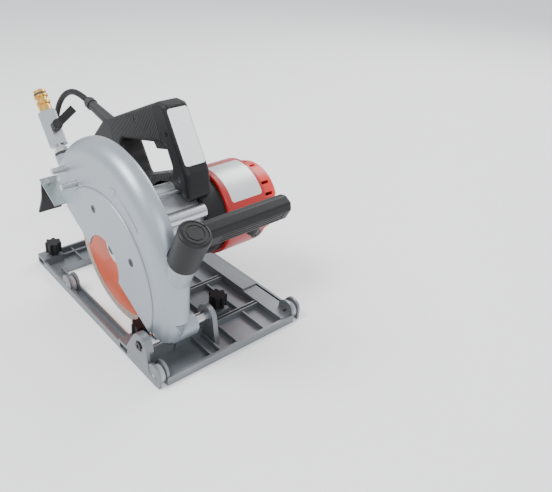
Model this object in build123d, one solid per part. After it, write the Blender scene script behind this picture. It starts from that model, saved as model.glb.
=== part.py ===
"""Hand-held wet-cutting plunge saw for guide rails: a diamond disc in a swinging guard over a cast base.

World frame: +X forward towards the plunge pivot, +Y towards the motor, +Z up, sole at z = 0.
Head frame: origin on the plunge pivot, drawn with the disc fully lowered, then tilted up to rest.
"""
from build123d import *
import os
from math import acos, atan2, cos, degrees, hypot, pi, radians, sin, tan

os.makedirs("parts", exist_ok=True)

# ---------------------------------------------------------------- clearances
SEAT = 0.03            # radial gap of a fixed seat
RUN = 0.05             # radial gap of a running fit
GAP = 0.5              # plain air gap between neighbours

# ---------------------------------------------------------------- base plate
BASE_L = 288.0
BASE_W = 197.0
BASE_FLOOR = 3.0
RIM_H = 10.0
RIM_T = 3.0
RIB_T = 2.2
WINDOW_X0 = -97.0
WINDOW_X1 = 103.0
WINDOW_Y0 = -84.0
WINDOW_Y1 = -12.0
FRONT_WALL_H = 16.0
LEDGE_W = 21.0
LEDGE_H = 11.0
LEDGE_STEP_H = 13.5
LEDGE_GROOVE = 4.0

# ---------------------------------------------------------------- plunge pivot
PIVOT_X = 108.5
PIVOT_Z = 32.0
REST_TILT = 26.5
SHAFT_R = 6.0
EAR_R = 13.0
EAR_T = 9.0
EAR2_T = 6.0
EAR2_Y = -14.0
HUB_R = 13.0
HUB_Y0 = -64.5
HUB_Y1 = -31.8
BUSH_T = 2.0
BUSH_L = 8.0

# ---------------------------------------------------------------- guard (head frame)
GUARD_X = -112.0
GUARD_Z = 3.0
GUARD_R = 127.0
GUARD_WALL = 4.0
GUARD_Y0 = -83.0
GUARD_Y1 = -59.5
GUARD_BACK = 2.0
GUARD_ROUND = 18.0
CHORD_REAR = -6.0
CHORD_FRONT = 5.5
CHORD_NOSE = 8.5
COVER_X = -98.0
COVER_Z = -10.0
COVER_R = 95.0
COVER_T = 2.5
COVER_PROUD = 1.5
BITE_X = -102.0
BITE_R = 32.0

# ---------------------------------------------------------------- disc and gears
ARBOR_X = -108.0
ARBOR_Z = 14.0
DISC_R = 90.0
DISC_T = 1.6
RIM_SEG_W = 9.0
RIM_SEG_T = 2.4
DISC_Y = -64.0
SPINDLE_R = 7.0
DISC_BORE_R = 11.15
FLANGE_R = 21.0
MODULE = 1.25
GEAR_TEETH = 37
PINION_TEETH = 10
PRESSURE = 25.0
GEAR_SHIFT_DIR = 73.4      # direction from the arbor to the motor axis, degrees
GEAR_W = 9.0
GEAR_Y0 = -44.0

# ---------------------------------------------------------------- motor
MOTOR_R = 50.0
MOTOR_WALL = 3.0
MOTOR_Y0 = 37.0
MOTOR_Y1 = 88.0
CAP_R = 43.0
CAP_Y1 = 113.0
PLATE_R = 46.5
PLATE_Y0 = 8.0
CASE_R = 42.0
ROTOR_R = 5.0
BOSS_R = 8.0
BOSS_PCR = 41.0
BOSS_ANGLES = (115.0, 62.0, -35.0, 205.0)

# ---------------------------------------------------------------- front handle
COLUMN_Y = -63.0
COLUMN_R = 11.7
SPIGOT_R = 12.4
SLEEVE_R = 14.3
CUP_R = 15.2
CUP_FLARE = 0.8
CUP_L = 43.0
CUP_GAP = 0.5
BAR_X = -26.0
BAR_Z = 131.0
BAR_Y1 = 52.0
BAR_HALF_H = 11.9
BAR_HALF_W = 9.7
STUB_R = 7.4
STUB_L = 12.0
STUB_Y = 19.0

# ---------------------------------------------------------------- main handle
GRIP_Y = 5.5
GRIP_W = 31.0
SHELL_T = 3.0
SWITCH_HALF_W = GRIP_W / 2 - SHELL_T - SEAT
GRIP_ROUND = 5.0

# ---------------------------------------------------------------- water valve
VALVE_Y = -71.5
VALVE_X = -233.0
VALVE_Z = 26.0
VALVE_DIR = 155.0
HEX_AF = 20.0
HEX_S0 = 18.0
HEX_L = 43.0

# ---------------------------------------------------------------- cord
CORD_R = 4.0
RELIEF_L = 62.0
COIL_X = -214.4
COIL_Y = 78.0
COIL_R = 44.0
COIL_TURNS = 4             # turns side by side
COIL_LAYERS = 2
FLOOR_GAP = 0.3


# ================================================================ helpers
def box(x0, x1, y0, y1, z0, z1):
    """A block between two corners."""
    return Pos((x0 + x1) / 2, (y0 + y1) / 2, (z0 + z1) / 2) * Box(x1 - x0, y1 - y0, z1 - z0)


def rod_y(r, y0, y1, x=0.0, z=0.0):
    """A cylinder along Y."""
    return Pos(x, (y0 + y1) / 2, z) * Rot(90, 0, 0) * Cylinder(r, y1 - y0)


def tube_y(r_out, r_in, y0, y1, x=0.0, z=0.0):
    """A plain sleeve along Y."""
    return rod_y(r_out, y0, y1, x, z) - rod_y(r_in, y0 - 1, y1 + 1, x, z)


def rod_z(r, z0, z1, x=0.0, y=0.0):
    """A cylinder along Z."""
    return Pos(x, y, (z0 + z1) / 2) * Cylinder(r, z1 - z0)


def slab_y(points, y0, y1):
    """A polygon given as (x, z), extruded along Y."""
    plane = Plane(origin=(0, y1, 0), x_dir=(1, 0, 0), z_dir=(0, -1, 0))
    face = plane * make_face(Polyline(*points, close=True))
    return extrude(face, y1 - y0)


def slab_y_round(points, y0, y1, radius):
    """A polygon given as (x, z) with rounded corners, extruded along Y."""
    plane = Plane(origin=(0, y1, 0), x_dir=(1, 0, 0), z_dir=(0, -1, 0))
    face = plane * make_face(FilletPolyline(*points, radius=radius, close=True))
    return extrude(face, y1 - y0)


def rest(shape):
    """Carry a shape from the head frame to its raised rest place."""
    return Pos(PIVOT_X, 0, PIVOT_Z) * Rot(0, REST_TILT, 0) * shape


def solids_of(shape):
    """The solids of a shape as one flat compound."""
    return Compound(children=list(shape.solids()))


def save(name, shape):
    """Write one node."""
    export_step(solids_of(shape), f"parts/{name}.step")


def group(shapes):
    """Several separate solids in one node."""
    return Compound(children=[s for shape in shapes for s in shape.solids()])


def polar(x, z, r, angle):
    """A point at a distance and angle from a centre in the XZ plane."""
    return x + r * cos(radians(angle)), z + r * sin(radians(angle))


MOTOR_GAP = MODULE * (GEAR_TEETH + PINION_TEETH) / 2
MOTOR_X, MOTOR_Z = polar(ARBOR_X, ARBOR_Z, MOTOR_GAP, GEAR_SHIFT_DIR)


def cap_screw(r, length, head_r, head_h):
    """A socket-head screw along +Z, head on top of z = 0."""
    screw = rod_z(r, -length, 0.2) + rod_z(head_r, 0, head_h)
    socket = Pos(0, 0, head_h - head_h * 0.3) * extrude(RegularPolygon(head_r * 0.5, 6), head_h)
    return screw - socket


def along_y(shape, x, y, z, towards=-1):
    """Stand a +Z shape along Y, its top towards -Y or +Y."""
    return Pos(x, y, z) * Rot(90 if towards < 0 else -90, 0, 0) * shape


# ================================================================ base
HALF_L = BASE_L / 2
HALF_W = BASE_W / 2
ROLLER_R = 9.5
ROLLER_W = 6.0
ROLLER_Z = ROLLER_R + 0.3
ROLLER_Y = HALF_W - 7.0
ROLLER_SPOTS = {
    "rear_left": (-58.0, -ROLLER_Y),
    "front_left": (HALF_L - 11.5, -ROLLER_Y),
    "front_right": (HALF_L - 11.5, ROLLER_Y),
    "rear_right": (-118.0, ROLLER_Y),
}
ROLLER_PIN_R = 2.0
TAB_T = 3.0
TAB_R = 10.5
TAB_Z = 13.0
KNOB_R = 10.8
KNOB_H = 14.0
KNOB_Z = 16.0
KNOB_SPOTS = {
    "rear_left": (-132.0, -79.5),
    "front_left": (77.0, -76.0),
    "right": (84.0, 24.0),
}
STUD_R = 3.0
CHANNEL_W = 15.0
CHANNEL_H = 6.0
CHANNEL_Z = 3.5
BOSS_HALF = 10.0
BOSS_TOP = 13.0


def roller_tabs(x, y):
    """A pair of round-topped tabs standing either side of a roller."""
    tabs = None
    for side in (-1, 1):
        inner = y + side * (ROLLER_W / 2 + GAP)
        outer = inner + side * TAB_T
        low, high = min(inner, outer), max(inner, outer)
        tab = box(x - TAB_R, x + TAB_R, low, high, 0, TAB_Z) + rod_y(TAB_R, low, high, x, TAB_Z)
        tabs = tab if tabs is None else tabs + tab
    return tabs


def pivot_ear(y0, y1, foot_x0, foot_x1):
    """An upright ear whose flanks run tangent to the round top."""
    top = PIVOT_Z
    flank = [
        (foot_x0, BASE_FLOOR - 1),
        (PIVOT_X - EAR_R * cos(radians(25)), top + EAR_R * sin(radians(25))),
        (PIVOT_X + EAR_R * cos(radians(20)), top + EAR_R * sin(radians(20))),
        (foot_x1, BASE_FLOOR - 1),
    ]
    return slab_y(flank, y0, y1) + rod_y(EAR_R, y0, y1, PIVOT_X, top)


def channel_boss(x, y0, y1):
    """A raised block that a guide bar passes through along Y."""
    return box(x - BOSS_HALF, x + BOSS_HALF, y0, y1, 0.5, BOSS_TOP)


def base_plate():
    """The cast sole with its rims, ribs, window walls, ledge, ears, tabs and channels."""
    plate = extrude(RectangleRounded(BASE_L, BASE_W, 7), RIM_H)
    pocket = extrude(RectangleRounded(BASE_L - 2 * RIM_T, BASE_W - 2 * RIM_T, 5), RIM_H)
    plate -= Pos(0, 0, BASE_FLOOR) * pocket
    wall = RIB_T
    x0, x1, y0, y1 = WINDOW_X0, WINDOW_X1, WINDOW_Y0, WINDOW_Y1
    plate += box(x0 - wall, x0, y0 - wall, y1 + wall, 0.5, RIM_H)
    plate += box(x0 - wall, x1 + wall, y0 - wall, y0, 0.5, RIM_H)
    plate += box(x0 - wall, x1 + wall, y1, y1 + wall, 0.5, RIM_H)
    plate += box(x1, x1 + wall, y0 - wall, y1 + wall, 0.5, FRONT_WALL_H)
    plate += box(x1 - 1, x1 + wall + 2, -52, -50, 0.5, FRONT_WALL_H - 1)
    inside = HALF_L - RIM_T
    ledge_y1 = HALF_W - RIM_T - LEDGE_GROOVE
    ledge_y0 = ledge_y1 - LEDGE_W
    # longitudinal ribs and paired cross ribs of the motor side
    for y in (6.0, 45.0):
        plate += box(WINDOW_X0, inside + 0.5, y, y + RIB_T, 0.5, RIM_H - 1.5)
    for x in (-60.0, 31.0, 97.0):
        for step in (0.0, 4.2):
            plate += box(x + step, x + step + 1.6, y1, ledge_y0 + 1, 0.5, RIM_H)
    # rear bar ribs
    plate += box(-HALF_L + 14, -HALF_L + 14 + RIB_T, -HALF_W + 30, ledge_y0, 0.5, RIM_H - 2)
    plate += box(-HALF_L + 1, x0, -52, -52 + RIB_T, 0.5, RIM_H - 3)
    # front strip ribs
    plate += box(x1, inside + 0.5, -30, -30 + RIB_T, 0.5, RIM_H - 2)
    plate += box(x1, inside + 0.5, -17, -17 + RIB_T, 0.5, RIM_H - 2)
    # the long hollow ledge, with a higher middle stretch
    ledge = box(-inside - 0.5, inside + 0.5, ledge_y0, ledge_y1, 0.0, LEDGE_H)
    ledge += box(-32, 76, ledge_y0, ledge_y1, 0.0, LEDGE_STEP_H)
    ledge -= box(-inside + 3, inside - 3, ledge_y0 + 2.5, ledge_y1 - 2.5, -1, LEDGE_H - 2.5)
    plate -= box(-inside + 3, inside - 3, ledge_y0 + 2.5, ledge_y1 - 2.5, -1, BASE_FLOOR + 1)
    plate += ledge
    # through window for the disc
    plate -= box(x0, x1, y0, y1, -1, BASE_FLOOR + 1)
    # pivot ears
    left = -HALF_W
    plate += pivot_ear(left, left + EAR_T, 76.0, 128.0)
    plate += pivot_ear(EAR2_Y, EAR2_Y + EAR2_T, 96.0, 128.0)
    # guide bar channels with their bosses
    for name, (x, y) in KNOB_SPOTS.items():
        if name == "right":
            plate += channel_boss(x, y - BOSS_HALF, y + BOSS_HALF)
        else:
            plate += channel_boss(x, -HALF_W, y + BOSS_HALF - 1)
    for name, (x, y) in KNOB_SPOTS.items():
        channel = box(x - CHANNEL_W / 2, x + CHANNEL_W / 2, -HALF_W - 1, y + 12, CHANNEL_Z,
                      CHANNEL_Z + CHANNEL_H)
        if name == "right":
            channel = box(x - CHANNEL_W / 2, x + CHANNEL_W / 2, y - 12, y + 12, CHANNEL_Z,
                          CHANNEL_Z + CHANNEL_H)
        plate -= channel
        plate -= rod_z(STUD_R + SEAT, CHANNEL_Z + CHANNEL_H - 1, BOSS_TOP + 1, x, y)
    # roller tabs, slots and pin holes
    for x, y in ROLLER_SPOTS.values():
        plate += roller_tabs(x, y)
    half = ROLLER_W / 2 + GAP
    for x, y in ROLLER_SPOTS.values():
        plate -= box(x - TAB_R - 1, x + TAB_R + 1, y - half, y + half, -1, RIM_H + 20)
        plate -= rod_y(ROLLER_PIN_R + SEAT, y - half - TAB_T - 3, y + half + TAB_T + 3, x, ROLLER_Z)
    # shaft seats
    plate -= rod_y(SHAFT_R + SEAT, left - 1, left + EAR_T + 1, PIVOT_X, PIVOT_Z)
    plate -= rod_y(SHAFT_R + SEAT, EAR2_Y - 1, EAR2_Y + EAR2_T + 1, PIVOT_X, PIVOT_Z)
    return plate


def star_knob(x, y):
    """A seven-lobed clamping knob with its moulded-in threaded stud."""
    lobes = 7
    head = rod_z(KNOB_R * 0.84, 0, KNOB_H)
    for i in range(lobes):
        lx, lz = polar(0, 0, KNOB_R * 0.76, 360 * i / lobes)
        head += rod_z(KNOB_R * 0.24, 0, KNOB_H, lx, lz)
    notch_r = KNOB_R * 0.26
    for i in range(lobes):
        nx, nz = polar(0, 0, KNOB_R * 1.0, 360 * (i + 0.5) / lobes)
        head -= rod_z(notch_r, -1, KNOB_H + 1, nx, nz)
    head += rod_z(KNOB_R * 0.5, -2.5, 0.5)
    head -= rod_z(STUD_R, -3, KNOB_H * 0.7)
    stud = rod_z(STUD_R, CHANNEL_Z + CHANNEL_H - KNOB_Z - 1.0, KNOB_H * 0.7)
    return Pos(x, y, KNOB_Z) * group([head, stud])


SHAFT_Y0 = -HALF_W + 1.5
SHAFT_Y1 = EAR2_Y + EAR2_T - 0.5


def base_parts():
    """Everything that stays with the sole."""
    save("base_plate", base_plate())
    shaft = rod_y(SHAFT_R, SHAFT_Y0, SHAFT_Y1, PIVOT_X, PIVOT_Z)
    for y, towards in ((SHAFT_Y0, -1), (SHAFT_Y1, 1)):
        shaft -= rod_y(2.6, min(y, y - towards * 14), max(y, y - towards * 14), PIVOT_X, PIVOT_Z)
    save("pivot_shaft", shaft)
    screws = []
    for y, towards in ((SHAFT_Y0, -1), (SHAFT_Y1, 1)):
        screws.append(along_y(cap_screw(2.5, 12, 4.4, 3.2), PIVOT_X, y, PIVOT_Z, towards))
    save("shaft_screws", group(screws))
    pins = []
    for name, (x, y) in ROLLER_SPOTS.items():
        half = ROLLER_W / 2 + GAP + TAB_T
        pins.append(rod_y(ROLLER_PIN_R, y - half, y + half, x, ROLLER_Z))
        roller = rod_y(ROLLER_R, y - ROLLER_W / 2, y + ROLLER_W / 2, x, ROLLER_Z)
        roller -= rod_y(ROLLER_PIN_R + RUN, y - ROLLER_W, y + ROLLER_W, x, ROLLER_Z)
        save(f"roller_{name}", fillet(roller.edges().filter_by(GeomType.CIRCLE).group_by(
            SortBy.RADIUS)[-1], 0.8))
    save("roller_pins", group(pins))
    for name, (x, y) in KNOB_SPOTS.items():
        save(f"knob_{name}", star_knob(x, y))


# ================================================================ guard and head casting
def guard_disc(radius, y0, y1, front_round, back_round):
    """A drum along Y with rounded rims."""
    drum = rod_y(radius, y0, y1, GUARD_X, GUARD_Z)
    front = drum.edges().filter_by(GeomType.CIRCLE).sort_by(Axis.Y)[0]
    drum = fillet(front, front_round)
    back = drum.edges().filter_by(GeomType.CIRCLE).sort_by(Axis.Y)[-1]
    return fillet(back, back_round)


NOTCH_X0 = -128.0
NOTCH_X1 = -31.0
UNDER = [
    (-270, CHORD_REAR), (NOTCH_X0, CHORD_REAR), (NOTCH_X0, CHORD_FRONT), (NOTCH_X1, CHORD_FRONT),
    (NOTCH_X1 + 12, CHORD_NOSE), (60, CHORD_NOSE), (60, -220), (-270, -220),
]
COLUMN_FOOT = (0.0, 4.0)
COLUMN_KNEE = (0.4, 37.0)
COLUMN_LOW = (1.9, 34.0)
COLUMN_BEND = (-21.9, 79.5)
SLEEVE_TILT = -2.6         # lean of the upper column, degrees
SLEEVE_L = 20.4
CUP_HOLLOW_L = 14.0
WEB_Y1 = -50.0
COLUMN_COLLARS = ((14.0, 9.0, 2.2), (26.0, 2.4, 1.2))  # height, length, proud
SPIGOT_L = 57.0


def sleeve_frame():
    """Frame of the upper column: origin at the bend, +Z up the column."""
    return Pos(COLUMN_BEND[0], COLUMN_Y, COLUMN_BEND[1]) * Rot(0, SLEEVE_TILT, 0)


def rod_between(start, end, radius):
    """A rod in the column's plane from one point to another."""
    dx = end[0] - start[0]
    dz = end[1] - start[1]
    place = Pos(start[0], COLUMN_Y, start[1]) * Rot(0, degrees(atan2(dx, dz)), 0)
    return place * rod_z(radius, 0, hypot(dx, dz))


def head_casting():
    """Guard shell, pivot hub and handle column cast in one."""
    shell = guard_disc(GUARD_R, GUARD_Y0, GUARD_Y1, GUARD_ROUND, 4)
    lower = rod_between(COLUMN_FOOT, COLUMN_KNEE, COLUMN_R + 0.5)
    lower += rod_between(COLUMN_LOW, COLUMN_BEND, COLUMN_R)
    for z, length, proud in COLUMN_COLLARS:
        lower += Pos(COLUMN_FOOT[0], COLUMN_Y, z) * rod_z(COLUMN_R + proud, 0, length)
    upper = sleeve_frame() * (rod_z(SLEEVE_R, -10, SLEEVE_L) + rod_z(SPIGOT_R, 0, SPIGOT_L))
    # web that flows from the guard's back into the column and hub
    web = slab_y([(-60, 60), (-44, 64), (-24, 60), (8, 12), (-18, -4), (-46, 12)],
                 GUARD_Y1 - 1.5, WEB_Y1)
    fitting_boss = valve_frame() * rod_z(FITTING_BOSS_R, -8, FITTING_BOSS_S)
    body = shell + lower + upper + web + fitting_boss
    body -= slab_y(UNDER, -120, GUARD_Y1 + 0.5)
    inner = guard_disc(GUARD_R - GUARD_WALL, GUARD_Y0 + GUARD_WALL, GUARD_Y1 - GUARD_BACK,
                       GUARD_ROUND - GUARD_WALL, 1.5)
    body -= inner
    body += rod_y(HUB_R, HUB_Y0, HUB_Y1, 0, 0)
    # the front handle's cup sits in a walled hollow of the rim
    seat = rod_z(CUP_R + CUP_GAP + GUARD_WALL, SLEEVE_L - GUARD_WALL, SLEEVE_L + CUP_HOLLOW_L)
    seat = sleeve_frame() * seat
    body += seat & guard_disc(GUARD_R - 1, GUARD_Y0 + 1, GUARD_Y1 - 1, GUARD_ROUND, 3)
    hollow = rod_z(CUP_R + CUP_FLARE + CUP_GAP, SLEEVE_L, SLEEVE_L + CUP_L + 10)
    hollow -= rod_z(SPIGOT_R, 0, SPIGOT_L)
    body -= sleeve_frame() * hollow
    # recess and opening for the outer cover
    body -= rod_y(COVER_R + 0.3, GUARD_Y0 - 5, GUARD_Y0 + COVER_T - COVER_PROUD, COVER_X, COVER_Z)
    body -= rod_y(COVER_R - 6, GUARD_Y0 - 5, GUARD_Y0 + GUARD_WALL + 1, COVER_X, COVER_Z)
    # screw lugs for the cover, left standing inside the opening
    for x, z in COVER_BOLTS:
        lug = rod_y(7, GUARD_Y0 + COVER_T - COVER_PROUD, GUARD_Y0 + 9, x, z)
        arm_x, arm_z = polar(COVER_X, COVER_Z, COVER_R - 4, degrees(atan2(z - COVER_Z, x - COVER_X)))
        arm = slab_y([(x - 6, z - 3), (x + 6, z - 3), (arm_x + 6, arm_z), (arm_x - 6, arm_z)],
                     GUARD_Y0 + COVER_T - COVER_PROUD, GUARD_Y0 + GUARD_WALL)
        body += lug + arm
        body -= rod_y(COVER_SCREW_R + SEAT, GUARD_Y0 - 5, GUARD_Y0 + 8, x, z)
    # spindle opening in the back, pivot bore, spring pocket and water way
    body -= rod_y(FLANGE_R + 3, GUARD_Y1 - 6, GUARD_Y1 + 5, ARBOR_X, ARBOR_Z)
    body -= rod_y(SHAFT_R + 0.6, HUB_Y0 - 1, HUB_Y1 + 1, 0, 0)
    body -= rod_y(SHAFT_R + BUSH_T + SEAT, HUB_Y0 - 1, HUB_Y0 + BUSH_L, 0, 0)
    body -= rod_y(SHAFT_R + BUSH_T + SEAT, HUB_Y1 - BUSH_L, HUB_Y1 + 1, 0, 0)
    body -= rod_y(SPRING_R + SPRING_WIRE / 2 + SPRING_GAP, HUB_Y0 + BUSH_L + 1, HUB_Y1 - BUSH_L - 1, 0, 0)
    body -= valve_frame() * rod_z(FITTING_R + SEAT, -20, FITTING_BOSS_S + 1)
    body -= sleeve_frame() * rod_z(3.0, 20, SPIGOT_L + 1)
    for x, z in post_spots():
        body -= rod_y(POST_R + SEAT, GUARD_Y0 - 4, GUARD_Y0 + 4, x, z)
    return body


COVER_SCREW_R = 2.5
COVER_BOLTS = ((-143.0, 46.0), (-64.0, 53.0))
SPRING_R = 8.0
SPRING_WIRE = 1.4
SPRING_GAP = 0.3
FITTING_R = 5.0
FITTING_BOSS_R = 9.0
FITTING_BOSS_S = 6.0
FITTING_SEAL_T = 3.5
POST_R = 3.5
POST_OUT = 19.0


def post_spots():
    """Centres of the two posts at the rear of the guard face."""
    return [(-208.0, 42.0), (-184.0, 42.0)]


def valve_frame():
    """Frame of the water line: origin at the guard rim, +Z outwards."""
    return Pos(VALVE_X, VALVE_Y, VALVE_Z) * Rot(0, 90 - VALVE_DIR, 0)


def blade_cover():
    """Flat outer cover with the viewing bite at its lower edge."""
    y0 = GUARD_Y0 - COVER_PROUD
    y1 = GUARD_Y0 + COVER_T - COVER_PROUD
    cover = rod_y(COVER_R, y0, y1, COVER_X, COVER_Z)
    cover = chamfer(cover.edges().filter_by(GeomType.CIRCLE).sort_by(Axis.Y)[0], 1.0)
    cover -= slab_y([(-270, CHORD_REAR + 0.6), (NOTCH_X0, CHORD_REAR + 0.6), (NOTCH_X0, 0.0),
                     (BITE_X, CHORD_FRONT + 0.6), (60, CHORD_FRONT + 0.6), (60, -220), (-270, -220)],
                    y0 - 1, y1 + 1)
    cover -= rod_y(BITE_R, y0 - 1, y1 + 1, BITE_X, 0)
    for x, z in COVER_BOLTS:
        cover -= rod_y(COVER_SCREW_R + 0.3, y0 - 1, y1 + 1, x, z)
        cover -= rod_y(4.6, y0 - 1, y0 + 1.4, x, z)
    return cover


def guard_parts():
    """Guard casting, cover, posts, deflector, flap, hub bushes and spring."""
    save("head_casting", rest(head_casting()))
    save("blade_cover", rest(blade_cover()))
    y_seat = GUARD_Y0 - COVER_PROUD + 1.4
    screws = [along_y(cap_screw(COVER_SCREW_R, 7, 4.2, 1.2), x, y_seat, z) for x, z in COVER_BOLTS]
    save("cover_screws", rest(group(screws)))
    posts = []
    for i, (x, z) in enumerate(post_spots()):
        post = rod_y(POST_R - 0.4 * i, GUARD_Y0 - POST_OUT, GUARD_Y0 + 4, x, z)
        posts.append(chamfer(post.edges().filter_by(GeomType.CIRCLE).sort_by(Axis.Y)[0], 0.7))
    save("guard_posts", rest(group(posts)))
    save("deflector_plate", rest(deflector_plate()))
    save("deflector_screw", rest(deflector_screw()))
    save("spray_flap", rest(spray_flap()))
    bushes = []
    for y0 in (HUB_Y0 - 1.0, HUB_Y1 - BUSH_L + 1.0):
        bushes.append(tube_y(SHAFT_R + BUSH_T, SHAFT_R + RUN, y0, y0 + BUSH_L))
    save("pivot_bushes", rest(group(bushes)))
    save("lift_spring", rest(lift_spring()))


DEFLECTOR_X0 = -240.0
DEFLECTOR_X1 = -197.0
DEFLECTOR_Y0 = -97.0
DEFLECTOR_T = 2.0


def deflector_plate():
    """Bent sheet: a shelf level with the guard's lower edge and a tab up the guard face."""
    shelf = box(DEFLECTOR_X0, DEFLECTOR_X1, DEFLECTOR_Y0, GUARD_Y0, CHORD_REAR - DEFLECTOR_T, CHORD_REAR)
    tail = box(DEFLECTOR_X0, DEFLECTOR_X1, GUARD_Y0 - 1, GUARD_Y1 - 4, CHORD_REAR - DEFLECTOR_T, CHORD_REAR)
    plate = shelf + tail
    plate -= rod_z(2.1, CHORD_REAR - 5, CHORD_REAR + 5, DEFLECTOR_X0 + 8, DEFLECTOR_Y0 + 6)
    return plate


def deflector_screw():
    """The screw and nut that clamp the flap under the shelf."""
    screw = cap_screw(2.0, 8.0, 3.6, 2.2)
    return Pos(DEFLECTOR_X0 + 8, DEFLECTOR_Y0 + 6, CHORD_REAR) * screw


FLAP_T = 2.5
FLAP_L = 52.0


def spray_flap():
    """Rubber spray flap hanging from the rear of the shelf, curved to the rear at its tip."""
    top = CHORD_REAR - DEFLECTOR_T
    x0 = DEFLECTOR_X0 + 2
    y0 = DEFLECTOR_Y0 + 1
    y1 = GUARD_Y1 - 6
    clamp = box(x0, x0 + 14, y0, y1, top - FLAP_T, top)
    path = FilletPolyline((x0 + 1.3, 0, top - 1.0), (x0 + 8, 0, top - 0.45 * FLAP_L),
                          (x0 + 6, 0, top - FLAP_L), radius=30)
    plane = Plane(origin=path @ 0, z_dir=path % 0, x_dir=(0, 1, 0))
    strip = sweep(plane * Rectangle(y1 - y0, FLAP_T), path)
    flap = clamp + Pos(0, (y0 + y1) / 2, 0) * strip
    return flap - rod_z(2.1, top - 12, top + 1, DEFLECTOR_X0 + 8, DEFLECTOR_Y0 + 6)


def lift_spring():
    """Torsion spring coiled round the pivot shaft inside the hub."""
    length = HUB_Y1 - HUB_Y0 - 2 * BUSH_L - 6
    pitch = 2 * SPRING_WIRE + 0.5
    helix = Helix(pitch, length, SPRING_R)
    plane = Plane(origin=helix @ 0, z_dir=helix % 0)
    coil = sweep(plane * Circle(SPRING_WIRE / 2), helix, is_frenet=True)
    return Pos(0, (HUB_Y0 + HUB_Y1) / 2 + length / 2, 0) * Rot(90, 0, 0) * coil


# ================================================================ disc, spindle, rotor
def gear(teeth, y0, y1, x, z, turn, bore, backlash=0.12):
    """An involute spur gear along Y: tooth flanks from the base circle, straight root."""
    pitch_r = MODULE * teeth / 2
    base_r = pitch_r * cos(radians(PRESSURE))
    root_r = pitch_r - 1.15 * MODULE
    tip_r = pitch_r + 0.85 * MODULE
    half = pi / (2 * teeth) * (1 - backlash)

    def roll(r):
        if r <= base_r:
            return 0.0
        a = acos(base_r / r)
        return tan(a) - a

    pitch_roll = roll(pitch_r)
    steps = 5
    start_r = max(root_r, base_r)
    radii = [start_r + (tip_r - start_r) * k / steps for k in range(steps + 1)]
    if root_r < base_r:
        radii = [root_r] + radii
    flank = [(r, half + pitch_roll - roll(r)) for r in radii]
    points = []
    for i in range(teeth):
        mid = radians(turn) + 2 * pi * i / teeth
        for r, a in flank:
            points.append((r * cos(mid - a), r * sin(mid - a)))
        for r, a in reversed(flank):
            points.append((r * cos(mid + a), r * sin(mid + a)))
    blank = slab_y([(x + px, z + pz) for px, pz in points], y0, y1)
    return blank - rod_y(bore, y0 - 1, y1 + 1, x, z)


DISC_Y0 = DISC_Y - DISC_T / 2
DISC_Y1 = DISC_Y + DISC_T / 2
INNER_FLANGE_Y1 = DISC_Y1 + 4.0
OUTER_FLANGE_Y0 = DISC_Y0 - 5.0
SPINDLE_Y1 = -16.0
BEARING_W = 9.0
SPINDLE_BEARING_R = 16.0
FRONT_BEARING_Y = INNER_FLANGE_Y1 + 2.5
REAR_BEARING_Y = GEAR_Y0 + GEAR_W + 6.0


def disc_parts():
    """Diamond disc, clamping flanges, bolt, spindle and driven gear."""
    x, z = ARBOR_X, ARBOR_Z
    core_r = DISC_R - RIM_SEG_W
    core = tube_y(core_r, DISC_BORE_R, DISC_Y0, DISC_Y1, x, z)
    hx, hz = polar(x, z, 52, 205)
    core -= rod_y(3.0, DISC_Y0 - 1, DISC_Y1 + 1, hx, hz)
    save("disc_core", rest(core))
    rim = tube_y(DISC_R, core_r + 0.0, DISC_Y - RIM_SEG_T / 2, DISC_Y + RIM_SEG_T / 2, x, z)
    for i in range(48):
        for side in (-1, 1):
            turn = Rot(0, 360 * i / 48 + (3.75 if side > 0 else 0), 0)
            groove = box(core_r + 1.5, DISC_R + 1, -0.6, 0.6, -0.9, 0.9)
            lift = Pos(0, side * (RIM_SEG_T / 2 + 0.25), 0)
            rim -= Pos(x, DISC_Y, z) * turn * lift * groove
    save("disc_rim", rest(rim))
    inner = tube_y(FLANGE_R, SPINDLE_R + SEAT, DISC_Y1, INNER_FLANGE_Y1, x, z)
    inner += tube_y(DISC_BORE_R - SEAT, SPINDLE_R + SEAT, DISC_Y0 - 0.0, DISC_Y1 + 0.1, x, z)
    save("inner_flange", rest(inner))
    outer = tube_y(FLANGE_R, 4.0 + SEAT, OUTER_FLANGE_Y0, DISC_Y0, x, z)
    outer = chamfer(outer.edges().filter_by(GeomType.CIRCLE).sort_by(Axis.Y)[0], 1.2)
    save("outer_flange", rest(outer))
    bolt = rod_y(4.0, OUTER_FLANGE_Y0 - 0.0, DISC_Y0 + 14, x, z)
    hex_head = Plane(origin=(x, OUTER_FLANGE_Y0, z), x_dir=(1, 0, 0), z_dir=(0, -1, 0))
    bolt += extrude(hex_head * RegularPolygon(7.5, 6), 5.0)
    save("disc_bolt", rest(bolt))
    spindle = rod_y(SPINDLE_R, DISC_Y0 + 0.1, SPINDLE_Y1, x, z)
    spindle += rod_y(SPINDLE_R + 2.0, INNER_FLANGE_Y1, FRONT_BEARING_Y - 0.2, x, z)
    spindle -= rod_y(4.0 + SEAT, DISC_Y0 - 1, DISC_Y0 + 16, x, z)
    save("spindle", rest(spindle))
    driven = gear(GEAR_TEETH, GEAR_Y0, GEAR_Y0 + GEAR_W, x, z, GEAR_SHIFT_DIR, SPINDLE_R + SEAT)
    save("driven_gear", rest(driven))
    bearings = []
    for y0 in (FRONT_BEARING_Y, REAR_BEARING_Y):
        bearings.append(tube_y(SPINDLE_BEARING_R, SPINDLE_R + RUN, y0, y0 + BEARING_W, x, z))
    save("spindle_bearings", rest(group(bearings)))


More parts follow.
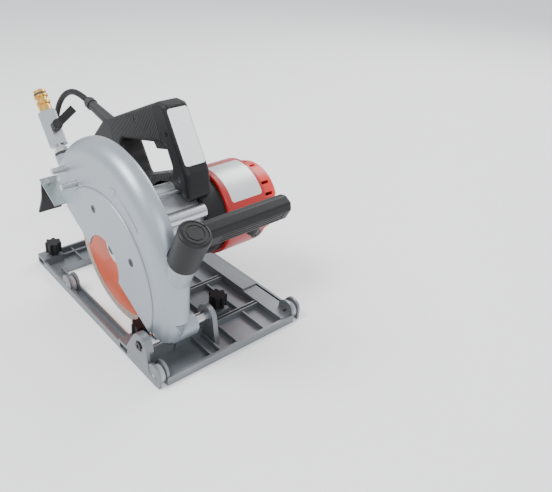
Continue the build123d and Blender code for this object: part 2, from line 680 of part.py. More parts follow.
ROTOR_Y0 = GEAR_Y0 - 1.0
ROTOR_Y1 = CAP_Y1 - 8.0
ROTOR_BEARING_R = 11.0
PLATE_BEARING_Y = PLATE_Y0 + 3.0
CAP_BEARING_Y = CAP_Y1 - 16.0
FAN_Y0 = PLATE_Y0 + 17.0
STATOR_Y0 = MOTOR_Y0 + 2.0
STATOR_Y1 = MOTOR_Y0 + 31.0
STATOR_IN = 25.0
CORE_R = 24.2
BRUSH_Y = MOTOR_Y1 - 10.5
COMM_R = 12.0


def rotor_parts():
    """Armature shaft with pinion, core, commutator, fan and its bearings."""
    x, z = MOTOR_X, MOTOR_Z
    pinion_turn = GEAR_SHIFT_DIR + 180 + 180 / PINION_TEETH
    shaft = rod_y(ROTOR_R, GEAR_Y0 + GEAR_W + 0.5, ROTOR_Y1, x, z)
    shaft += gear(PINION_TEETH, ROTOR_Y0, GEAR_Y0 + GEAR_W + 1, x, z, pinion_turn, 1.0)
    save("armature_shaft", rest(shaft))
    core = tube_y(CORE_R, ROTOR_R, STATOR_Y0 + 1, STATOR_Y1 - 1, x, z)
    for i in range(12):
        slot = box(CORE_R - 9, CORE_R + 1, STATOR_Y0, STATOR_Y1, -1.1, 1.1)
        core -= Pos(x, 0, z) * Rot(0, 30 * i, 0) * slot
    save("armature_core", rest(core))
    comm = tube_y(COMM_R, ROTOR_R, BRUSH_Y - 6.5, BRUSH_Y + 6.5, x, z)
    save("commutator", rest(comm))
    fan = tube_y(10, ROTOR_R, FAN_Y0, FAN_Y0 + 10, x, z) + tube_y(36, 9, FAN_Y0 + 8, FAN_Y0 + 10, x, z)
    for i in range(11):
        vane = box(9, 35.5, FAN_Y0, FAN_Y0 + 8.5, -0.8, 0.8)
        fan += Pos(x, 0, z) * Rot(0, 360 * i / 11, 0) * vane
    save("fan", rest(fan))
    bearings = []
    for y0 in (PLATE_BEARING_Y, CAP_BEARING_Y):
        bearings.append(tube_y(ROTOR_BEARING_R, ROTOR_R + RUN, y0, y0 + 8, x, z))
    save("armature_bearings", rest(group(bearings)))


# ================================================================ gear case and motor shells
def gear_case():
    """Cast case from the guard's back to the bearing plate, round the gears."""
    y0, y1 = GUARD_Y1, PLATE_Y0
    x, z = MOTOR_X, MOTOR_Z
    body = rod_y(CASE_R - 4, y0, y1, x, z) + rod_y(31, y0, -18, ARBOR_X, ARBOR_Z)
    for angle in BOSS_ANGLES:
        bx, bz = polar(x, z, BOSS_PCR, angle)
        body += rod_y(BOSS_R, y0, y1, bx, bz)
        tie = box(0, BOSS_PCR, y0, y1, -6, 6)
        body += Pos(x, 0, z) * Rot(0, -angle, 0) * tie
    # gear chamber
    gear_room = MODULE * GEAR_TEETH / 2 + 2.5
    body -= rod_y(gear_room, GEAR_Y0 - 2, GEAR_Y0 + GEAR_W + 3, ARBOR_X, ARBOR_Z)
    body -= rod_y(13, GEAR_Y0 - 2, GEAR_Y0 + GEAR_W + 3, x, z)
    body -= rod_y(SPINDLE_R + 4, y0 - 1, GEAR_Y0, ARBOR_X, ARBOR_Z)
    body -= rod_y(SPINDLE_R + 3, GEAR_Y0, SPINDLE_Y1 + 1.0, ARBOR_X, ARBOR_Z)
    for by in (FRONT_BEARING_Y, REAR_BEARING_Y):
        body -= rod_y(SPINDLE_BEARING_R + SEAT, by, by + BEARING_W, ARBOR_X, ARBOR_Z)
    body -= rod_y(FLANGE_R + 1.5, y0 - 1, FRONT_BEARING_Y, ARBOR_X, ARBOR_Z)
    # clear room round the armature shaft up to the bearing plate
    body -= rod_y(30, GEAR_Y0 + GEAR_W + 6, y1 + 1, x, z)
    body -= rod_y(ROTOR_R + 3, GEAR_Y0, y1 + 1, x, z)
    for angle in BOSS_ANGLES:
        bx, bz = polar(x, z, BOSS_PCR, angle)
        body -= rod_y(CASE_SCREW_R + SEAT, y1 - 26, y1 + 1, bx, bz)
    return body


CASE_SCREW_R = 2.5
CASE_HEAD_R = 4.2
CASE_HEAD_DEEP = 6.0


def bearing_plate():
    """Black plastic intermediate flange with the front armature bearing and the fan room."""
    x, z = MOTOR_X, MOTOR_Z
    plate = rod_y(PLATE_R, PLATE_Y0, MOTOR_Y0, x, z)
    plate -= rod_y(PLATE_R - 4, PLATE_Y0 + 15, MOTOR_Y0 + 1, x, z)
    plate -= rod_y(ROTOR_BEARING_R + SEAT, PLATE_BEARING_Y, PLATE_Y0 + 16, x, z)
    plate -= rod_y(ROTOR_R + 2, PLATE_Y0 - 1, PLATE_Y0 + 16, x, z)
    for angle in BOSS_ANGLES:
        bx, bz = polar(x, z, BOSS_PCR, angle)
        plate -= rod_y(CASE_HEAD_R + 0.4, PLATE_Y0 + CASE_HEAD_DEEP, MOTOR_Y0 + 1, bx, bz)
        plate -= rod_y(CASE_SCREW_R + SEAT, PLATE_Y0 - 1, PLATE_Y0 + 16, bx, bz)
    return plate


def motor_housing():
    """Red moulded barrel round the stator."""
    x, z = MOTOR_X, MOTOR_Z
    shell = rod_y(MOTOR_R, MOTOR_Y0 - 4, MOTOR_Y1, x, z)
    shell = fillet(shell.edges().filter_by(GeomType.CIRCLE).sort_by(Axis.Y)[0], 2.0)
    shell -= rod_y(PLATE_R + SEAT, MOTOR_Y0 - 5, MOTOR_Y0, x, z)
    shell -= rod_y(MOTOR_R - MOTOR_WALL, MOTOR_Y0 + 2, MOTOR_Y1 - 3, x, z)
    shell -= rod_y(PLATE_R - 4, MOTOR_Y0 - 1, MOTOR_Y0 + 3, x, z)
    shell -= rod_y(CAP_R - 5, MOTOR_Y1 - 4, MOTOR_Y1 + 1, x, z)
    for side in (0, 180):
        bx, bz = polar(x, z, MOTOR_R, side)
        mid = Pos(bx, BRUSH_Y, bz) * Rot(0, 90, 0)
        shell -= mid * Cylinder(6.5 + SEAT, 16)
    for angle in CAP_SCREW_ANGLES:
        cx, cz = polar(x, z, CAP_R - 2.5, angle)
        shell -= rod_y(CAP_SCREW_R + SEAT, MOTOR_Y1 - 3.5, MOTOR_Y1 + 1, cx, cz)
    return shell


CAP_SCREW_R = 2.0
CAP_SCREW_ANGLES = (45, 135, 225, 315)


def end_cap():
    """Smaller red cup over the brush end, slotted for cooling air."""
    x, z = MOTOR_X, MOTOR_Z
    cap = rod_y(CAP_R, MOTOR_Y1, CAP_Y1, x, z)
    cap = fillet(cap.edges().filter_by(GeomType.CIRCLE).sort_by(Axis.Y)[-1], 7.0)
    cap -= rod_y(CAP_R - 6.5, MOTOR_Y1 - 1, CAP_Y1 - 6, x, z)
    cap += rod_y(ROTOR_BEARING_R + 3, CAP_BEARING_Y, CAP_Y1 - 3, x, z)
    cap -= rod_y(ROTOR_BEARING_R + SEAT, CAP_BEARING_Y - 1, CAP_BEARING_Y + 8, x, z)
    cap -= rod_y(ROTOR_R + 2, CAP_BEARING_Y - 1, ROTOR_Y1 + 1.5, x, z)
    for i in range(20):
        if i % 5 == 0:
            continue
        slot = box(CAP_R - 12, CAP_R + 2, MOTOR_Y1 + 6, CAP_Y1 - 9, -1.7, 1.7)
        cap -= Pos(x, 0, z) * Rot(0, 18 * i, 0) * slot
    for angle in CAP_SCREW_ANGLES:
        cx, cz = polar(x, z, CAP_R - 2.5, angle)
        cap -= rod_y(CAP_SCREW_R + SEAT, MOTOR_Y1 - 1, MOTOR_Y1 + 4, cx, cz)
        cap -= rod_y(3.8, MOTOR_Y1 + 3.0, CAP_Y1 + 1, cx, cz)
    return cap


def motor_parts():
    """Case, plate, barrel, cap, stator, brushes and their fasteners."""
    x, z = MOTOR_X, MOTOR_Z
    save("gear_case", rest(gear_case()))
    save("bearing_plate", rest(bearing_plate()))
    save("motor_housing", rest(motor_housing()))
    save("end_cap", rest(end_cap()))
    screws = []
    for angle in BOSS_ANGLES:
        bx, bz = polar(x, z, BOSS_PCR, angle)
        seat_y = PLATE_Y0 + CASE_HEAD_DEEP
        screws.append(along_y(cap_screw(CASE_SCREW_R, 28, CASE_HEAD_R, 4.0), bx, seat_y, bz, 1))
    save("case_screws", rest(group(screws)))
    screws = []
    for angle in CAP_SCREW_ANGLES:
        cx, cz = polar(x, z, CAP_R - 2.5, angle)
        screws.append(along_y(cap_screw(CAP_SCREW_R, 6, 3.4, 3.0), cx, MOTOR_Y1 + 3.0, cz, 1))
    save("end_cap_screws", rest(group(screws)))
    stator = tube_y(MOTOR_R - MOTOR_WALL - SEAT, STATOR_IN, STATOR_Y0, STATOR_Y1, x, z)
    for side in (90, 270):
        window = box(STATOR_IN - 1, STATOR_IN + 12, STATOR_Y0 - 1, STATOR_Y1 + 1, -9, 9)
        stator -= Pos(x, 0, z) * Rot(0, -side, 0) * window
    save("stator", rest(stator))
    holders = []
    brushes = []
    caps = []
    for side in (0, 180):
        radial = Pos(x, BRUSH_Y, z) * Rot(0, -side, 0) * Rot(0, 90, 0)
        tube = rod_z(6.5, COMM_R + 4, MOTOR_R - 2.0) - rod_z(3.6, COMM_R, MOTOR_R)
        holders.append(radial * tube)
        brushes.append(radial * rod_z(3.5, COMM_R + 0.15, COMM_R + 18))
        cap = rod_z(6.4, MOTOR_R - 2.0, MOTOR_R + 0.8) - box(-5, 5, -0.8, 0.8, MOTOR_R - 0.2, MOTOR_R + 2)
        caps.append(radial * cap)
    save("brush_holders", rest(group(holders)))
    save("brushes", rest(group(brushes)))
    save("brush_caps", rest(group(caps)))


# ================================================================ front handle
CUP_S0 = SLEEVE_L + 0.3
CUP_S1 = SLEEVE_L + CUP_L


def front_handle():
    """Moulded cup over the column with a grip bar and a short down-stub."""
    frame = sleeve_frame()
    cup = Cone(CUP_R, CUP_R + CUP_FLARE, CUP_S1 - CUP_S0)
    cup = frame * Pos(0, 0, (CUP_S0 + CUP_S1) / 2) * fillet(
        cup.edges().filter_by(GeomType.CIRCLE).sort_by(Axis.Z)[-1], 2.5)
    bar_points = [
        (BAR_X - BAR_HALF_W, BAR_Z - BAR_HALF_H + 4), (BAR_X - BAR_HALF_W, BAR_Z + BAR_HALF_H - 4),
        (BAR_X - 4, BAR_Z + BAR_HALF_H), (BAR_X + 5, BAR_Z + BAR_HALF_H - 1),
        (BAR_X + BAR_HALF_W, BAR_Z + 5), (BAR_X + BAR_HALF_W, BAR_Z - BAR_HALF_H + 3),
        (BAR_X, BAR_Z - BAR_HALF_H),
    ]
    bar = slab_y_round(bar_points, COLUMN_Y, BAR_Y1, 3.0)
    end = bar.faces().sort_by(Axis.Y)[-1].edges()
    bar = fillet(end, 3.0)
    groove_y0 = COLUMN_Y + CUP_R + 12
    for k in range(3):
        groove = rod_y(0.9, groove_y0, BAR_Y1 - 8, BAR_X + BAR_HALF_W + 0.2, BAR_Z - 4 + 3.6 * k)
        bar -= groove
    stub = rod_z(STUB_R, BAR_Z - BAR_HALF_H - STUB_L, BAR_Z, BAR_X, STUB_Y)
    handle = cup + bar + stub
    for k, ring in enumerate((8.3, 12.4)):
        rim = rod_z(ring + 0.5, CUP_S1 - 0.6, CUP_S1 + 1) - rod_z(ring - 0.5, CUP_S1 - 1, CUP_S1 + 2)
        handle -= frame * rim
    handle -= frame * rod_z(SPIGOT_R + SEAT, 0, SPIGOT_L + 0.5)
    return handle


# ================================================================ main handle
GRIP_OUTER = [
    (-276.0, 8.0), (-264.0, 44.0), (-182.0, 144.0), (-169.0, 150.0), (-104.0, 113.0),
    (-86.0, 90.0), (-110.0, 76.0), (-150.0, 40.0), (-193.0, 8.0), (-232.0, 22.0), (-258.0, 2.0),
]
GRIP_HOLE = [(-223.0, 53.0), (-150.0, 114.0), (-123.5, 97.5), (-180.0, 30.0)]
TRIGGER_PIVOT = (-160.0, 116.0)
TRIGGER_SWING = 9.0
TRIGGER_GAP = 0.6
TRIGGER_HUB_R = 4.0
TRIGGER_PIN_R = 2.0


def grip_solid(inset=0.0):
    """The D-shaped outline, whole or shrunk by an inset, before it is split in two halves."""
    y0 = GRIP_Y - GRIP_W / 2 + inset
    y1 = GRIP_Y + GRIP_W / 2 - inset
    outer = make_face(FilletPolyline(*GRIP_OUTER, radius=6, close=True))
    hole = make_face(FilletPolyline(*GRIP_HOLE, radius=7, close=True))
    if inset:
        outer = offset(outer, -inset)
        hole = offset(hole, inset)
    plane = Plane(origin=(0, y1, 0), x_dir=(1, 0, 0), z_dir=(0, -1, 0))
    return extrude(plane * (outer - hole), y1 - y0)


def trigger_room(extra):
    """Space of the trigger blade under the grip, grown by a gap."""
    points = [(-178, 92), (-167, 88), (-150, 103), (-146, 113), (-160, 124), (-182, 104)]
    return slab_y_round(points, GRIP_Y - 6 - extra, GRIP_Y + 6 + extra, 2.0)


def handle_parts():
    """Two handle shells, trigger, switch, screws and the cord sleeve."""
    whole = grip_solid()
    soft = [e for e in whole.edges() if abs(e.center().Y - GRIP_Y) > GRIP_W / 2 - 0.1]
    whole = fillet(soft, GRIP_ROUND)
    room = grip_solid(SHELL_T)
    # the shells seat on the case and the bearing plate
    seat = rod_y(PLATE_R + 0.2, -80, 80, MOTOR_X, MOTOR_Z)
    boss_x, boss_z = polar(MOTOR_X, MOTOR_Z, BOSS_PCR, BOSS_ANGLES[0])
    seat += rod_y(BOSS_R + 0.3, -80, PLATE_Y0 + 0.2, boss_x, boss_z)
    shell = whole - room - seat
    pivot = Pos(TRIGGER_PIVOT[0], 0, TRIGGER_PIVOT[1])
    swept = trigger_room(TRIGGER_GAP)
    for step in range(-1, 8):
        turn = step * TRIGGER_SWING / 6
        shell -= pivot * Rot(0, turn, 0) * pivot.inverse() * swept
    shell -= rod_y(TRIGGER_HUB_R + TRIGGER_GAP, GRIP_Y - 6 - TRIGGER_GAP, GRIP_Y + 6 + TRIGGER_GAP,
                   *TRIGGER_PIVOT)
    side = GRIP_W / 2 - 2
    shell += rod_y(TRIGGER_HUB_R, GRIP_Y - side, GRIP_Y - 6 - TRIGGER_GAP, *TRIGGER_PIVOT)
    shell += rod_y(TRIGGER_HUB_R, GRIP_Y + 6 + TRIGGER_GAP, GRIP_Y + side, *TRIGGER_PIVOT)
    shell += rod_y(TRIGGER_PIN_R, GRIP_Y - 7, GRIP_Y + 7, *TRIGGER_PIVOT)
    relief = relief_frame()
    shell -= relief * rod_z(RELIEF_R0 + SEAT, -RELIEF_IN - 0.5, 30)
    shell -= relief * rod_z(CORD_R + 1, -RELIEF_IN - 20, 0)
    # screw pillars
    pillars = HANDLE_SCREWS
    for px, pz in pillars:
        shell += rod_y(4.0, GRIP_Y - GRIP_W / 2 + 2, GRIP_Y + GRIP_W / 2 - 2, px, pz)
    for px, pz in pillars:
        shell -= rod_y(1.75 + SEAT, GRIP_Y - GRIP_W / 2 - 1, GRIP_Y + GRIP_W / 2 - 5, px, pz)
        shell -= rod_y(3.3, GRIP_Y - GRIP_W / 2 - 1, GRIP_Y - GRIP_W / 2 + 3, px, pz)
    left = shell & box(-320, 0, GRIP_Y - 40, GRIP_Y, -60, 220)
    right = shell & box(-320, 0, GRIP_Y, GRIP_Y + 40, -60, 220)
    save("handle_left", rest(left))
    save("handle_right", rest(right))
    screws = []
    for px, pz in pillars:
        screws.append(along_y(cap_screw(1.75, 22, 3.1, 2.6), px, GRIP_Y - GRIP_W / 2 + 3, pz))
    save("handle_screws", rest(group(screws)))
    blade = trigger_room(0)
    blade += rod_y(TRIGGER_HUB_R, GRIP_Y - 6, GRIP_Y + 6, *TRIGGER_PIVOT)
    blade -= rod_y(TRIGGER_PIN_R + RUN, GRIP_Y - 7, GRIP_Y + 7, *TRIGGER_PIVOT)
    save("trigger", rest(blade))
    switch = slab_y([(-193, 101), (-174, 122), (-185, 130), (-204, 108)],
                    GRIP_Y - SWITCH_HALF_W, GRIP_Y + SWITCH_HALF_W)
    save("switch_module", rest(switch))


HANDLE_SCREWS = ((-255.0, 20.0), (-205.0, 100.0), (-150.0, 128.0), (-112.0, 98.0))
RELIEF_R0 = 7.5
RELIEF_R1 = 6.0
RELIEF_X = -262.0
RELIEF_Z = 38.0
RELIEF_DIR = 195.0
RELIEF_IN = 6.0


def relief_frame():
    """Frame of the cord sleeve: origin at the grip end, +Z out along the cord."""
    return Pos(RELIEF_X, GRIP_Y, RELIEF_Z) * Rot(0, 90 - RELIEF_DIR, 0)


# ================================================================ water line
LEVER_S = HEX_S0 + 20.0


def valve_parts():
    """Fitting, seal, ball valve body, stem with ball, lever and hose nipple."""
    frame = valve_frame()
    hex_s = FITTING_BOSS_S + FITTING_SEAL_T
    fitting = rod_z(FITTING_R, -12, hex_s + 1) + Pos(0, 0, hex_s) * extrude(RegularPolygon(8.0, 6), 5)
    fitting += rod_z(6.0, hex_s + 4, HEX_S0)
    fitting -= rod_z(2.5, -13, HEX_S0 + 1)
    save("valve_fitting", rest(frame * fitting))
    seal = rod_z(8.6, FITTING_BOSS_S, hex_s) - rod_z(FITTING_R + SEAT, 3, hex_s + 1)
    save("fitting_seal", rest(frame * seal))
    body = Pos(0, 0, HEX_S0) * extrude(
        RegularPolygon(HEX_AF / 2, 6, major_radius=False, rotation=30), HEX_L)
    body = chamfer(body.faces().sort_by(Axis.Z)[-1].edges(), 1.2)
    body -= rod_z(5.0, HEX_S0 - 1, HEX_S0 + HEX_L + 1)
    body -= Pos(0, 0, LEVER_S) * Sphere(BALL_R + 0.3)
    body -= Pos(0, 0, LEVER_S) * Rot(0, 90, 0) * rod_z(STEM_R + RUN, 0, HEX_AF)
    save("valve_body", rest(frame * body))
    ball = Sphere(BALL_R) - Rot(90, 0, 0) * Cylinder(3.2, 3 * BALL_R)
    ball += Rot(0, 90, 0) * rod_z(STEM_R, BALL_R - 1.5, HEX_AF / 2 + 8)
    turned = frame * Pos(0, 0, LEVER_S) * Rot(LEVER_REST, 0, 0)
    save("valve_ball", rest(turned * ball))
    hub = rod_z(6.0, HEX_AF / 2 + 1.0, HEX_AF / 2 + 9.0) - rod_z(STEM_R, 0, HEX_AF / 2 + 8)
    lever = Rot(0, 90, 0) * hub + Pos(HEX_AF / 2 + 2.5, 0, 0) * lever_wing()
    lever -= Rot(0, 90, 0) * rod_z(STEM_R + SEAT, 0, HEX_AF / 2 + 8.1)
    save("valve_lever", rest(turned * lever))
    top = HEX_S0 + HEX_L
    nipple = rod_z(7.6, top, top + 6) + rod_z(6.0, top + 5, top + 26)
    nipple += rod_z(8.3, top + 9, top + 12.5) + rod_z(8.3, top + 18.0, top + 20.0)
    nipple += rod_z(7.4, top + 22.5, top + 26)
    nipple -= rod_z(4.5, top - 1, top + 27)
    nipple += rod_z(4.9, top - 6, top + 0.5) - rod_z(4.5, top - 7, top + 1)
    save("hose_nipple", rest(frame * nipple))
    ring = rod_z(7.6, top + 20.0, top + 22.5) - rod_z(6.0 + SEAT, top + 19, top + 23)
    save("nipple_seal", rest(frame * ring))


BALL_R = 6.5
STEM_R = 2.5
LEVER_REST = 27.0


def lever_wing():
    """Flat wing of the lever, running across the valve and kicked up at its tip."""
    plane = Plane(origin=(0, 0, -4.5), x_dir=(0, 1, 0), z_dir=(0, 0, 1))
    outline = make_face(Polyline((-5, 0), (5, 0), (5, -4), (24, -15), (20, -21), (3, -9), (-5, -7),
                                 close=True))
    return extrude(plane * outline, 9.0)


# ================================================================ cord
LAY_Z = CORD_R + FLOOR_GAP
CORD_POINTS = [
    (-197.2, 5.5, 200.85), (-224.5, 3.0, 195.5), (-244.5, -1.0, 177.5), (-253.5, -5.0, 150.0),
    (-256.5, -5.0, 116.0), (-259.0, 1.0, 80.0), (-262.0, 9.0, 39.8), (-265.0, 22.0, 17.3),
    (-268.0, 44.5, LAY_Z), (-271.0, 70.0, LAY_Z),
]
TAIL_POINTS = [(-244.4, 30.0, 12.7), (-259.6, 43.2, 12.9), (-277.0, 60.6, 13.3)]
TAIL_DIR = 135.0
CORD_START = 0.2


def cord_sleeve():
    """Tapered strain relief with a collar near its outer end, in its own frame."""
    sleeve = Pos(0, 0, RELIEF_L / 2) * Cone(RELIEF_R0, RELIEF_R1, RELIEF_L)
    sleeve += rod_z(RELIEF_R0, -RELIEF_IN, 0.1)
    sleeve += rod_z(RELIEF_R1 + 1.6, RELIEF_L - 12, RELIEF_L - 4)
    return sleeve


def cord_tube(points):
    """Straight runs joined by tangent arcs, each arc as large as its two runs allow."""
    edges = []
    last = Vector(*points[0])
    total = 0.0
    for a, b, c in zip(points, points[1:], points[2:]):
        pa, pb, pc = Vector(*a), Vector(*b), Vector(*c)
        before = (pb - pa).length
        after = (pc - pb).length
        u = (pb - pa).normalized()
        v = (pc - pb).normalized()
        turn = radians(u.get_angle(v))
        reach = 0.45 * min(before, after)
        radius = reach / tan(turn / 2)
        start = pb - u * reach
        end = pb + v * reach
        edges.append(Line(last, start))
        edges.append(TangentArc(start, end, tangent=u))
        total += (start - last).length + radius * turn
        print(f"cord bend: turn {degrees(turn):.1f} deg, radius {radius:.1f} mm")
        last = end
    tail = Vector(*points[-1])
    edges.append(Line(last, tail))
    total += (tail - last).length
    path = Wire(edges)
    plane = Plane(origin=path @ 0, z_dir=path % 0)
    tube = sweep(plane * Circle(CORD_R), path)
    print(f"cord tube: length {total:.1f} mm, volume ratio {tube.volume / (pi * CORD_R ** 2 * total):.4f}")
    return tube


def cord_coil():
    """The outer shape of the put-away turns: one flat ring lying on the floor."""
    half = COIL_TURNS * (CORD_R + 0.2)
    high = COIL_LAYERS * 2 * (CORD_R + 0.2)
    ring = rod_z(COIL_R + half, 0, high) - rod_z(COIL_R - half, -1, high + 1)
    ring = fillet(ring.edges().filter_by(GeomType.CIRCLE), 3.0)
    return Pos(COIL_X, COIL_Y, FLOOR_GAP) * ring


PLUG_R = 13.0
PLUG_L = 34.0
PLUG_TAIL = 20.0
PIN_R = 2.4
PIN_L = 19.0
PIN_GAP = 19.0


def plug():
    """Round two-pin plug along +Z, its tapered tail starting at the origin."""
    body = fillet(rod_z(PLUG_R, 0, PLUG_L).edges().filter_by(GeomType.CIRCLE), 2.0)
    body = Pos(0, 0, PLUG_TAIL - 1) * body
    body += Pos(0, 0, PLUG_TAIL / 2) * Cone(CORD_R + 1, PLUG_R * 0.7, PLUG_TAIL)
    top = PLUG_TAIL - 1 + PLUG_L
    for side in (-1, 1):
        body += rod_z(PIN_R, top - 1, top + PIN_L, 0, side * PIN_GAP / 2)
    return body


def cord_parts():
    """Strain relief, free cord, its coil and its plug."""
    save("cord_sleeve", rest(relief_frame() * cord_sleeve()))
    start = rest(relief_frame() * Pos(0, 0, RELIEF_L + CORD_START) * Vertex(0, 0, 0)).center()
    print("cord leaves the sleeve at", [round(v, 2) for v in start])
    save("cord", group([cord_tube([tuple(start)] + CORD_POINTS), cord_tube(TAIL_POINTS)]))
    save("cord_coil", cord_coil())
    tail = TAIL_POINTS[-1]
    save("plug", Pos(*tail) * Rot(0, 0, TAIL_DIR) * Rot(0, 90, 0) * plug())


# ================================================================ build
base_parts()
guard_parts()
disc_parts()
rotor_parts()
motor_parts()
save("front_handle", rest(front_handle()))
handle_parts()
valve_parts()
cord_parts()
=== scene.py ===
from math import cos, radians, sin

import bpy
import numpy as np
from mathutils import Matrix, Vector


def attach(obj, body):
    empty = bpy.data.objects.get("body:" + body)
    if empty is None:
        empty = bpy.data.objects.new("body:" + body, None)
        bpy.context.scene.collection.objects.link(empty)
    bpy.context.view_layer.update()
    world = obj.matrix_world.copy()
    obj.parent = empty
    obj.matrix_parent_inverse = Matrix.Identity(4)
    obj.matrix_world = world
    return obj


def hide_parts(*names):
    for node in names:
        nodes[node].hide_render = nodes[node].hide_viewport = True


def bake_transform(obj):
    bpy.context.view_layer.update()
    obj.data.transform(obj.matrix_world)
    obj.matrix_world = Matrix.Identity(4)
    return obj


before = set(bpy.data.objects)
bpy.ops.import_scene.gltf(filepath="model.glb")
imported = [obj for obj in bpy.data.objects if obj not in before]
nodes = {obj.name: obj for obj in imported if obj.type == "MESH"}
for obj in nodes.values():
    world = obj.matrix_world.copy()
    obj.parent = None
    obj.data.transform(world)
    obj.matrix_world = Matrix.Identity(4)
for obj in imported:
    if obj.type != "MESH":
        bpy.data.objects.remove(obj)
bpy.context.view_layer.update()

MM = 0.001

# ---------------------------------------------------------------- view and room
# The saw stands on a pale studio floor under one large soft box and two fill panels.
# It is seen from its front left corner, from a little above.
EYE = Vector((488.4, -330.2, 418.8)) * MM
EYE_TURN = radians(54.94)
EYE_LIFT = radians(29.42)
LENS = 37.45
SENSOR = 36
SHIFT_X = 0.1967
SHIFT_Y = -0.0333
NEAREST = 0.01


def look_from(place, turn, lift):
    """A camera matrix: its back axis points along turn and lift, and its right axis stays level."""
    back = Vector((sin(turn) * cos(lift), -cos(turn) * cos(lift), sin(lift)))
    right = Vector((0, 0, 1)).cross(back).normalized()
    up = back.cross(right)
    return Matrix((
        (right.x, up.x, back.x, place.x),
        (right.y, up.y, back.y, place.y),
        (right.z, up.z, back.z, place.z),
        (0, 0, 0, 1),
    ))


eye_data = bpy.data.cameras.new("eye")
eye_data.lens = LENS
eye_data.sensor_width = SENSOR
eye_data.shift_x = SHIFT_X
eye_data.shift_y = SHIFT_Y
eye_data.clip_start = NEAREST
eye = bpy.data.objects.new("eye", eye_data)
bpy.context.scene.collection.objects.link(eye)
eye.matrix_world = look_from(EYE, EYE_TURN, EYE_LIFT)
bpy.context.scene.camera = eye


class Wire:
    """One socket of a node tree; arithmetic on it adds Math nodes."""

    def __init__(self, net, socket):
        self.net = net
        self.socket = socket

    def _math(self, kind, first, second):
        return self.net.node("Math", {"operation": kind}, {0: first, 1: second})

    def __add__(self, other):
        return self._math("ADD", self, other)

    def __radd__(self, other):
        return self._math("ADD", other, self)

    def __sub__(self, other):
        return self._math("SUBTRACT", self, other)

    def __rsub__(self, other):
        return self._math("SUBTRACT", other, self)

    def __mul__(self, other):
        return self._math("MULTIPLY", self, other)

    def __rmul__(self, other):
        return self._math("MULTIPLY", other, self)

    def __gt__(self, other):
        return self._math("GREATER_THAN", self, other)

    def __lt__(self, other):
        return self._math("LESS_THAN", self, other)


class Finish:
    """A material's node tree round one Principled shader."""

    def __init__(self, name, colour, rough, metal=0.0, coat=0.0):
        self.material = bpy.data.materials.new(name)
        self.material.use_nodes = True
        self.tree = self.material.node_tree
        self.tree.nodes.clear()
        self.shader = self.tree.nodes.new("ShaderNodeBsdfPrincipled")
        out = self.tree.nodes.new("ShaderNodeOutputMaterial")
        self.tree.links.new(self.shader.outputs[0], out.inputs["Surface"])
        self.set("Base Color", colour)
        self.set("Roughness", rough)
        self.set("Metallic", metal)
        self.set("Coat Weight", coat)
        self.material.diffuse_color = (*colour, 1)

    def node(self, kind, settings=None, inputs=None, out=0):
        """Adds a node: its settings first, then the values or links of its sockets."""
        made = self.tree.nodes.new("ShaderNode" + kind)
        for key, value in (settings or {}).items():
            setattr(made, key, value)
        for key, value in (inputs or {}).items():
            if isinstance(value, Wire):
                self.tree.links.new(value.socket, made.inputs[key])
            else:
                made.inputs[key].default_value = value
        return Wire(self, made.outputs[out])

    def set(self, name, value):
        """Sets or links one socket of the shader."""
        socket = self.shader.inputs[name]
        if isinstance(value, Wire):
            self.tree.links.new(value.socket, socket)
        elif name == "Base Color":
            socket.default_value = (*value, 1)
        else:
            socket.default_value = value

    def place(self):
        """The point of the surface in the part's own frame."""
        return self.node("TexCoord", out=3)

    def noise(self, scale, detail=3.0, rough=0.5, at=None, stretch=None):
        """Fractal noise between 0 and 1, stretched along the axes if asked."""
        at = at or self.place()
        if stretch:
            at = self.node("Mapping", None, {"Vector": at, "Scale": stretch})
        values = {"Vector": at, "Scale": scale, "Detail": detail, "Roughness": rough}
        return self.node("TexNoise", None, values)

    def mix(self, mask, low, high):
        """A colour between two others by a mask."""
        def tint(value):
            return value if isinstance(value, Wire) else (*value, 1)
        return self.node("Mix", {"data_type": "RGBA"}, {0: mask, 6: tint(low), 7: tint(high)}, out=2)

    def bump(self, height, strength, distance):
        """Relief from a height."""
        relief = self.node("Bump", None, {"Height": height, "Strength": strength, "Distance": distance})
        self.set("Normal", relief)


def put_on(piece, finish):
    """Gives a piece one finish and nothing else."""
    piece.data.materials.clear()
    piece.data.materials.append(finish.material)


def surface(name, points, close_u=False, close_v=False, caps=(False, False)):
    """A grid of points, u along rows and v along columns, as one quad mesh. A closed direction
    joins its last row or column to its first; a cap closes the first or last row with a fan."""
    rows, cols = points.shape[:2]
    index = np.arange(rows * cols).reshape(rows, cols)
    if close_u:
        index = np.vstack([index, index[:1]])
    if close_v:
        index = np.hstack([index, index[:, :1]])
    a, b = index[:-1, :-1].ravel(), index[:-1, 1:].ravel()
    c, d = index[1:, 1:].ravel(), index[1:, :-1].ravel()
    quads = np.stack([a, b, c, d], 1).tolist()
    verts = points.reshape(-1, 3)
    for row, at_end in ((0, False), (rows - 1, True)):
        if caps[int(at_end)]:
            verts = np.vstack([verts, points[row].mean(0)])
            hub = len(verts) - 1
            ring = np.arange(cols) + row * cols
            after = np.roll(ring, -1)
            first, second = (after, ring) if not at_end else (ring, after)
            quads += [[int(f), int(s), hub] for f, s in zip(first, second)]
    mesh = bpy.data.meshes.new(name)
    mesh.from_pydata(verts.tolist(), [], quads)
    mesh.shade_smooth()
    mesh.update()
    piece = bpy.data.objects.new(name, mesh)
    bpy.context.scene.collection.objects.link(piece)
    return piece


def outward(piece):
    """Turns every face of a closed mesh outwards after merging its doubles."""
    import bmesh
    work = bmesh.new()
    work.from_mesh(piece.data)
    bmesh.ops.remove_doubles(work, verts=work.verts, dist=1e-6)
    bmesh.ops.recalc_face_normals(work, faces=work.faces)
    work.to_mesh(piece.data)
    work.free()
    piece.data.shade_smooth()
    return piece


